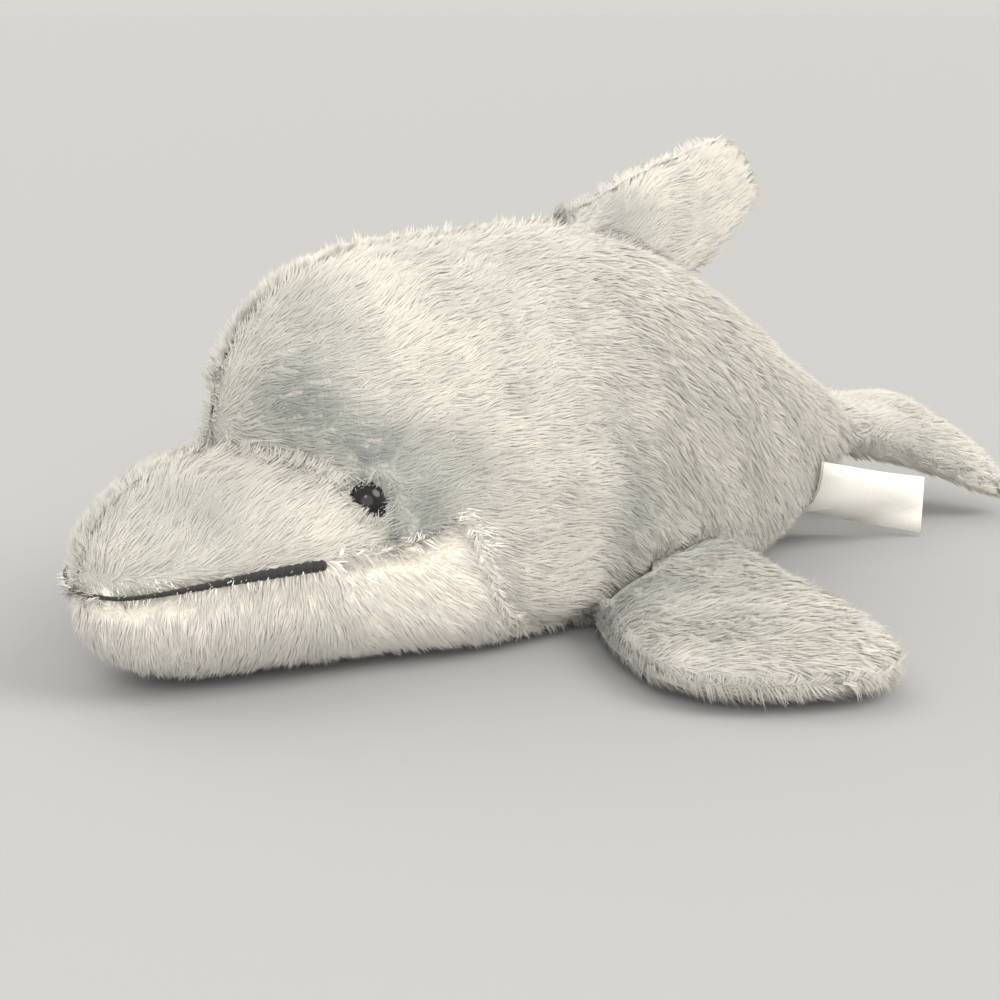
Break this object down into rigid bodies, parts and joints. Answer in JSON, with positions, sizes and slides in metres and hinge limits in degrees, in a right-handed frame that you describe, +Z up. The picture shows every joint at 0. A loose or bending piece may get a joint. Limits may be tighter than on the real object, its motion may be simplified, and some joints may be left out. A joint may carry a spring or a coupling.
{
  "type": "plush dolphin",
  "caption": "Soft stuffed dolphin lying on its belly, with a blunt beak, stitched mouth, glossy eyes, swept back fin, flippers, tail flukes and a side label.",
  "frame": {"origin": "middle of the bounding box at the table's height, under the belly", "axes": "+Z up from the table, -Y towards the beak's tip and +Y towards the tail, +X towards the dolphin's own left flipper"},
  "size_m": [0.3092, 0.3887, 0.1525],
  "materials": {
    "grey_plush": "long soft pile, cool grey roots and pale warm tips",
    "white_plush": "long soft pile, off white",
    "eye_plastic": "polished black",
    "washer_nylon": "moulded, satin",
    "black_thread": "twisted embroidery thread",
    "label_satin": "woven satin ribbon",
    "polyester_filling": "loose fibre"
  },
  "bodies": {
    "root": {"belly_panel": "white_plush", "back_panel_left": "grey_plush", "back_panel_right": "grey_plush", "beak_panel_left": "grey_plush", "beak_panel_right": "grey_plush", "dorsal_fin_left": "grey_plush", "dorsal_fin_right": "grey_plush", "flipper_left_upper": "grey_plush", "flipper_left_lower": "grey_plush", "flipper_right_upper": "grey_plush", "flipper_right_lower": "grey_plush", "fluke_upper": "grey_plush", "fluke_lower": "grey_plush", "eye_left": "eye_plastic", "eye_right": "eye_plastic", "eye_washer_left": "washer_nylon", "eye_washer_right": "washer_nylon", "mouth_thread": "black_thread", "sewn_label": "label_satin", "filling": "polyester_filling"}
  },
  "joints": []
}
